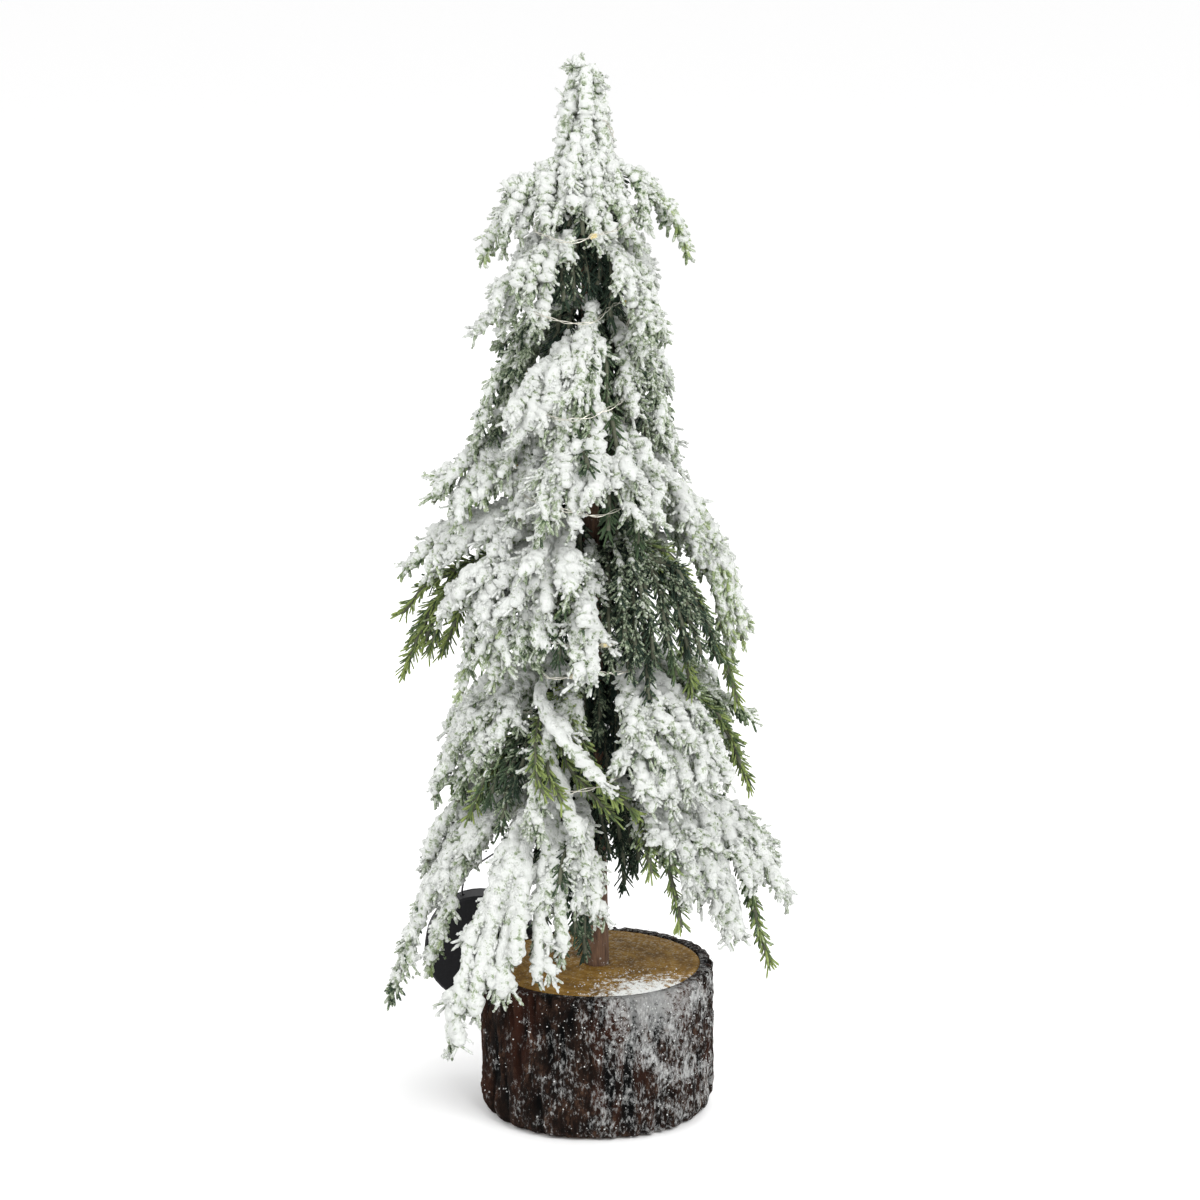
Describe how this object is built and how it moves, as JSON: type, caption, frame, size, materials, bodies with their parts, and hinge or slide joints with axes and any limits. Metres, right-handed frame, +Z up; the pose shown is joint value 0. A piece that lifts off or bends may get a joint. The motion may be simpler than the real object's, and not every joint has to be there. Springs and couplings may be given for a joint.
{
  "type": "artificial tabletop tree",
  "caption": "Small flocked artificial fir with bendable drooping boughs on a round bark log foot, wound with a wire light string that ends in a round coin-cell case.",
  "frame": {"origin": "centre of the log's underside", "axes": "+Z up the trunk, -Y towards the tree's front, +X to the right seen from the front"},
  "size_m": [0.1458, 0.1322, 0.4],
  "materials": {
    "sawn_wood": "sawn end grain, matt",
    "bark": "rough bark, matt",
    "steel_wire": "drawn wire",
    "paper_tape": "matt crepe paper",
    "flocked_needles": "moulded needles under white flock",
    "light_wire": "bright twisted wire",
    "lead_wire": "matt insulation",
    "black_plastic": "satin moulded",
    "cell_steel": "bright pressed steel",
    "circuit_board": "lacquered board"
  },
  "bodies": {
    "tree": {"base_wood": "sawn_wood", "base_bark": "bark", "trunk_rod": "steel_wire", "trunk_tape": "paper_tape", "light_string": "light_wire", "light_lead": "lead_wire", "case_shell": "black_plastic", "cell_left": "cell_steel", "cell_right": "cell_steel", "case_board": "circuit_board"},
    "leader": {"leader": "flocked_needles"},
    "cover": {"case_lid": "black_plastic", "lid_screw": "steel_wire"},
    "switch": {"switch_slider": "black_plastic"},
    "bough_a1": {"bough_a1": "flocked_needles"},
    "bough_a2": {"bough_a2": "flocked_needles"},
    "bough_a3": {"bough_a3": "flocked_needles"},
    "bough_a4": {"bough_a4": "flocked_needles"},
    "bough_b1": {"bough_b1": "flocked_needles"},
    "bough_b2": {"bough_b2": "flocked_needles"},
    "bough_b3": {"bough_b3": "flocked_needles"},
    "bough_b4": {"bough_b4": "flocked_needles"},
    "bough_c1": {"bough_c1": "flocked_needles"},
    "bough_c2": {"bough_c2": "flocked_needles"},
    "bough_c3": {"bough_c3": "flocked_needles"},
    "bough_c4": {"bough_c4": "flocked_needles"},
    "bough_c5": {"bough_c5": "flocked_needles"},
    "bough_c6": {"bough_c6": "flocked_needles"},
    "bough_d1": {"bough_d1": "flocked_needles"},
    "bough_d2": {"bough_d2": "flocked_needles"},
    "bough_d3": {"bough_d3": "flocked_needles"},
    "bough_d4": {"bough_d4": "flocked_needles"},
    "bough_d5": {"bough_d5": "flocked_needles"},
    "bough_d6": {"bough_d6": "flocked_needles"},
    "bough_e1": {"bough_e1": "flocked_needles"},
    "bough_e2": {"bough_e2": "flocked_needles"},
    "bough_e3": {"bough_e3": "flocked_needles"},
    "bough_e4": {"bough_e4": "flocked_needles"},
    "bough_e5": {"bough_e5": "flocked_needles"},
    "bough_e6": {"bough_e6": "flocked_needles"},
    "bough_e7": {"bough_e7": "flocked_needles"},
    "bough_e8": {"bough_e8": "flocked_needles"},
    "bough_f1": {"bough_f1": "flocked_needles"},
    "bough_f2": {"bough_f2": "flocked_needles"},
    "bough_f3": {"bough_f3": "flocked_needles"},
    "bough_f4": {"bough_f4": "flocked_needles"},
    "bough_f5": {"bough_f5": "flocked_needles"},
    "bough_f6": {"bough_f6": "flocked_needles"},
    "bough_f7": {"bough_f7": "flocked_needles"},
    "bough_f8": {"bough_f8": "flocked_needles"},
    "bough_g1": {"bough_g1": "flocked_needles"},
    "bough_g2": {"bough_g2": "flocked_needles"},
    "bough_g3": {"bough_g3": "flocked_needles"},
    "bough_g4": {"bough_g4": "flocked_needles"},
    "bough_g5": {"bough_g5": "flocked_needles"},
    "bough_g6": {"bough_g6": "flocked_needles"},
    "bough_g7": {"bough_g7": "flocked_needles"},
    "bough_g8": {"bough_g8": "flocked_needles"},
    "bough_g9": {"bough_g9": "flocked_needles"}
  },
  "joints": [
    {"name": "leader_bend", "type": "hinge", "parent": "tree", "child": "leader", "pos_m": [-0.00406, 0, 0.3663], "axis": [1, 0, 0], "range_deg": [-12, 12]},
    {"name": "bend_a1", "type": "hinge", "parent": "tree", "child": "bough_a1", "pos_m": [-0.00615, -0.00062, 0.362], "axis": [-0.2756, 0.9613, 0], "range_deg": [-8, 10], "deforming": ["light_string"]},
    {"name": "bend_a2", "type": "hinge", "parent": "tree", "child": "bough_a2", "pos_m": [-0.00183, -0.0005, 0.362], "axis": [-0.225, -0.9744, 0], "range_deg": [-8, 10], "deforming": ["light_string"]},
    {"name": "bend_a3", "type": "hinge", "parent": "tree", "child": "bough_a3", "pos_m": [-0.0042, -0.0023, 0.352], "axis": [-0.9903, 0.1392, 0], "range_deg": [-8, 10], "deforming": ["light_string"]},
    {"name": "bend_a4", "type": "hinge", "parent": "tree", "child": "bough_a4", "pos_m": [-0.00395, 0.00227, 0.358], "axis": [1, 0, 0], "range_deg": [-8, 10], "deforming": ["light_string"]},
    {"name": "bend_b1", "type": "hinge", "parent": "tree", "child": "bough_b1", "pos_m": [-0.0056, -0.00152, 0.336], "axis": [-0.6157, 0.788, 0], "range_deg": [-8, 10], "deforming": ["light_string"]},
    {"name": "bend_b2", "type": "hinge", "parent": "tree", "child": "bough_b2", "pos_m": [-0.00154, -0.00131, 0.334], "axis": [-0.5299, -0.848, 0], "range_deg": [-8, 10], "deforming": ["light_string"]},
    {"name": "bend_b3", "type": "hinge", "parent": "tree", "child": "bough_b3", "pos_m": [-0.00196, 0.00173, 0.338], "axis": [0.7071, -0.7071, 0], "range_deg": [-8, 10], "deforming": ["light_string"]},
    {"name": "bend_b4", "type": "hinge", "parent": "tree", "child": "bough_b4", "pos_m": [-0.00558, 0.00156, 0.34], "axis": [0.6428, 0.766, 0], "range_deg": [-8, 10], "deforming": ["light_string"]},
    {"name": "bend_c1", "type": "hinge", "parent": "tree", "child": "bough_c1", "pos_m": [-0.00586, -0.00088, 0.309], "axis": [-0.3256, 0.9455, 0], "range_deg": [-3, 10], "deforming": ["light_string"]},
    {"name": "bend_c2", "type": "hinge", "parent": "tree", "child": "bough_c2", "pos_m": [-0.00474, -0.00231, 0.299], "axis": [-0.829, 0.5592, 0], "range_deg": [-8, 10], "deforming": ["light_string"]},
    {"name": "bend_c3", "type": "hinge", "parent": "tree", "child": "bough_c3", "pos_m": [-0.00307, -0.00266, 0.312], "axis": [-0.9945, -0.1045, 0], "range_deg": [-6, 10], "deforming": ["light_string"]},
    {"name": "bend_c4", "type": "hinge", "parent": "tree", "child": "bough_c4", "pos_m": [-0.00083, -0.00119, 0.306], "axis": [-0.4384, -0.8988, 0], "range_deg": [-8, 10], "deforming": ["light_string"]},
    {"name": "bend_c5", "type": "hinge", "parent": "tree", "child": "bough_c5", "pos_m": [-0.00163, 0.00205, 0.312], "axis": [0.766, -0.6428, 0], "range_deg": [-4, 10], "deforming": ["light_string"]},
    {"name": "bend_c6", "type": "hinge", "parent": "tree", "child": "bough_c6", "pos_m": [-0.00498, 0.00212, 0.31], "axis": [0.788, 0.6157, 0], "range_deg": [-3, 10], "deforming": ["light_string"]},
    {"name": "bend_d1", "type": "hinge", "parent": "tree", "child": "bough_d1", "pos_m": [-0.00572, -0.00079, 0.267], "axis": [-0.2588, 0.9659, 0], "range_deg": [-8, 6], "deforming": ["light_string"]},
    {"name": "bend_d2", "type": "hinge", "parent": "tree", "child": "bough_d2", "pos_m": [-0.00375, -0.00285, 0.276], "axis": [-0.9563, 0.2924, 0], "range_deg": [-8, 10], "deforming": ["light_string"]},
    {"name": "bend_d3", "type": "hinge", "parent": "tree", "child": "bough_d3", "pos_m": [-0.00128, -0.00263, 0.27], "axis": [-0.866, -0.5, 0], "range_deg": [-8, 10], "deforming": ["light_string"]},
    {"name": "bend_d4", "type": "hinge", "parent": "tree", "child": "bough_d4", "pos_m": [0.00035, -0.00027, 0.264], "axis": [-0.0872, -0.9962, 0], "range_deg": [-8, 10], "deforming": ["light_string"]},
    {"name": "bend_d5", "type": "hinge", "parent": "tree", "child": "bough_d5", "pos_m": [-0.00142, 0.00257, 0.278], "axis": [0.866, -0.5, 0], "range_deg": [-8, 8], "deforming": ["light_string"]},
    {"name": "bend_d6", "type": "hinge", "parent": "tree", "child": "bough_d6", "pos_m": [-0.0048, 0.00229, 0.276], "axis": [0.766, 0.6428, 0], "range_deg": [-8, 6], "deforming": ["light_string"]},
    {"name": "bend_e1", "type": "hinge", "parent": "tree", "child": "bough_e1", "pos_m": [-0.00565, -0.00058, 0.238], "axis": [-0.1736, 0.9848, 0], "range_deg": [-8, 10], "deforming": ["light_string"]},
    {"name": "bend_e2", "type": "hinge", "parent": "tree", "child": "bough_e2", "pos_m": [-0.00563, 0, 0.222], "axis": [0, 1, 0], "range_deg": [-8, 10], "deforming": ["light_string"]},
    {"name": "bend_e3", "type": "hinge", "parent": "tree", "child": "bough_e3", "pos_m": [-0.00464, -0.00242, 0.232], "axis": [-0.7193, 0.6947, 0], "range_deg": [-8, 10], "deforming": ["light_string"]},
    {"name": "bend_e4", "type": "hinge", "parent": "tree", "child": "bough_e4", "pos_m": [-0.00228, -0.00346, 0.221], "axis": [-0.9994, 0.0349, 0], "range_deg": [-8, 10], "deforming": ["light_string"]},
    {"name": "bend_e5", "type": "hinge", "parent": "tree", "child": "bough_e5", "pos_m": [0.00063, -0.00192, 0.225], "axis": [-0.5592, -0.829, 0], "range_deg": [-8, 10], "deforming": ["light_string"]},
    {"name": "bend_e6", "type": "hinge", "parent": "tree", "child": "bough_e6", "pos_m": [0.0005, 0.00155, 0.24], "axis": [0.4695, -0.8829, 0], "range_deg": [-8, 10], "deforming": ["light_string"]},
    {"name": "bend_e7", "type": "hinge", "parent": "tree", "child": "bough_e7", "pos_m": [-0.00175, 0.0033, 0.234], "axis": [0.9848, -0.1736, 0], "range_deg": [-8, 10], "deforming": ["light_string"]},
    {"name": "bend_e8", "type": "hinge", "parent": "tree", "child": "bough_e8", "pos_m": [-0.00466, 0.00241, 0.228], "axis": [0.7071, 0.7071, 0], "range_deg": [-8, 10], "deforming": ["light_string"]},
    {"name": "bend_f1", "type": "hinge", "parent": "tree", "child": "bough_f1", "pos_m": [-0.00507, -0.00162, 0.178], "axis": [-0.4226, 0.9063, 0], "range_deg": [-8, 10], "deforming": ["light_string"]},
    {"name": "bend_f2", "type": "hinge", "parent": "tree", "child": "bough_f2", "pos_m": [-0.00425, -0.00276, 0.162], "axis": [-0.6947, 0.7193, 0], "range_deg": [-8, 10], "deforming": ["light_string"]},
    {"name": "bend_f3", "type": "hinge", "parent": "tree", "child": "bough_f3", "pos_m": [-0.00274, -0.00368, 0.174], "axis": [-0.9511, 0.309, 0], "range_deg": [-8, 10], "deforming": ["light_string"]},
    {"name": "bend_f4", "type": "hinge", "parent": "tree", "child": "bough_f4", "pos_m": [0.00108, -0.0027, 0.18], "axis": [-0.7071, -0.7071, 0], "range_deg": [-8, 10], "deforming": ["light_string"]},
    {"name": "bend_f5", "type": "hinge", "parent": "tree", "child": "bough_f5", "pos_m": [0.0021, -0.00119, 0.176], "axis": [-0.309, -0.9511, 0], "range_deg": [-8, 10], "deforming": ["light_string"]},
    {"name": "bend_f6", "type": "hinge", "parent": "tree", "child": "bough_f6", "pos_m": [0.00126, 0.00244, 0.182], "axis": [0.6428, -0.766, 0], "range_deg": [-8, 10], "deforming": ["light_string"]},
    {"name": "bend_f7", "type": "hinge", "parent": "tree", "child": "bough_f7", "pos_m": [-0.00196, 0.00381, 0.18], "axis": [0.9962, 0.0872, 0], "range_deg": [-8, 10], "deforming": ["light_string"]},
    {"name": "bend_f8", "type": "hinge", "parent": "tree", "child": "bough_f8", "pos_m": [-0.0049, 0.00193, 0.175], "axis": [0.5, 0.866, 0], "range_deg": [-8, 10], "deforming": ["light_string"]},
    {"name": "bend_g1", "type": "hinge", "parent": "tree", "child": "bough_g1", "pos_m": [-0.00524, -0.00058, 0.142], "axis": [-0.1392, 0.9903, 0], "range_deg": [-8, 10], "deforming": ["light_string"]},
    {"name": "bend_g2", "type": "hinge", "parent": "tree", "child": "bough_g2", "pos_m": [-0.00477, -0.00192, 0.132], "axis": [-0.454, 0.891, 0], "range_deg": [-8, 10], "deforming": ["light_string"]},
    {"name": "bend_g3", "type": "hinge", "parent": "tree", "child": "bough_g3", "pos_m": [-0.0038, -0.00317, 0.136], "axis": [-0.7547, 0.6561, 0], "range_deg": [-8, 10], "deforming": ["light_string"]},
    {"name": "bend_g4", "type": "hinge", "parent": "tree", "child": "bough_g4", "pos_m": [-0.00202, -0.00411, 0.132], "axis": [-0.9703, 0.2419, 0], "range_deg": [-8, 10], "deforming": ["light_string"]},
    {"name": "bend_g5", "type": "hinge", "parent": "tree", "child": "bough_g5", "pos_m": [0.00184, -0.00315, 0.132], "axis": [-0.7431, -0.6691, 0], "range_deg": [-8, 10], "deforming": ["light_string"]},
    {"name": "bend_g6", "type": "hinge", "parent": "tree", "child": "bough_g6", "pos_m": [0.00294, -0.00101, 0.14], "axis": [-0.2419, -0.9703, 0], "range_deg": [-8, 10], "deforming": ["light_string"]},
    {"name": "bend_g7", "type": "hinge", "parent": "tree", "child": "bough_g7", "pos_m": [0.00233, 0.00253, 0.135], "axis": [0.6018, -0.7986, 0], "range_deg": [-8, 8], "deforming": ["light_string"]},
    {"name": "bend_g8", "type": "hinge", "parent": "tree", "child": "bough_g8", "pos_m": [-0.00122, 0.00418, 0.138], "axis": [0.9994, 0.0349, 0], "range_deg": [-8, 10], "deforming": ["light_string"]},
    {"name": "bend_g9", "type": "hinge", "parent": "tree", "child": "bough_g9", "pos_m": [-0.00439, 0.00255, 0.133], "axis": [0.6018, 0.7986, 0], "range_deg": [-8, 10], "deforming": ["light_string"]},
    {"name": "cover_lift", "type": "slide", "parent": "tree", "child": "cover", "axis": [0, 1, 0], "range_m": [0, 0.012]},
    {"name": "switch_slide", "type": "slide", "parent": "tree", "child": "switch", "axis": [1, 0, 0], "range_m": [0, 0.0025]}
  ]
}
